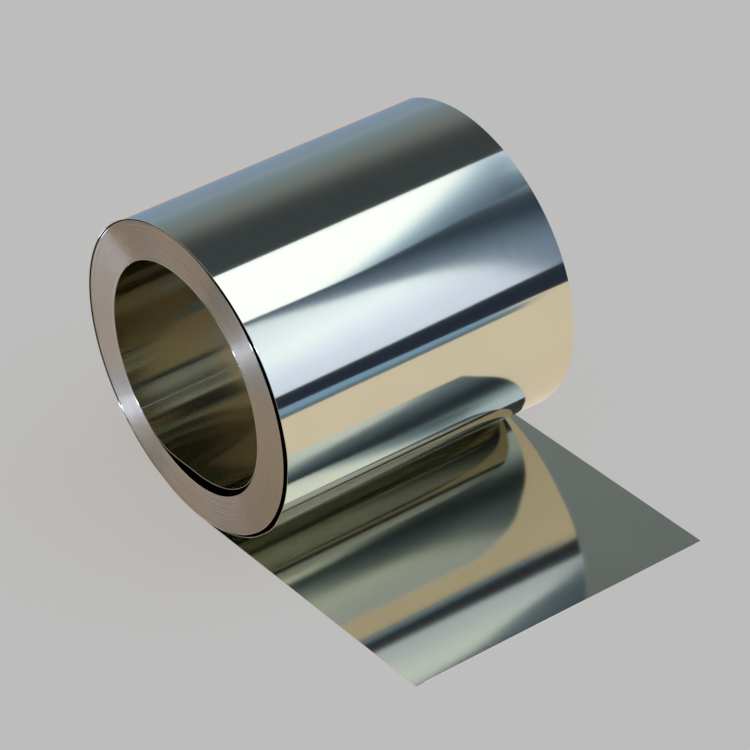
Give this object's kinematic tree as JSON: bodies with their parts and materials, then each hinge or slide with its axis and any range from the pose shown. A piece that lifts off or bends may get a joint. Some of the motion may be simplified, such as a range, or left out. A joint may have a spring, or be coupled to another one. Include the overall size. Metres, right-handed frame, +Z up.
{
  "type": "steel coil",
  "caption": "Coil of thin mirror-bright steel strip lying on its side, wound round a clear bore, with a loose outer turn and the strip's end rolled out flat on the floor.",
  "frame": {"origin": "middle of the bore, halfway along its axis", "axes": "+Y along the bore, +X the way the flat tail points along the floor, +Z up"},
  "size_m": [0.3221, 0.21, 0.2014],
  "materials": {
    "bright_strip": "bright annealed, mirror-like faces with satin slit edges"
  },
  "bodies": {
    "root": {"steel_coil": "bright_strip"}
  },
  "joints": []
}
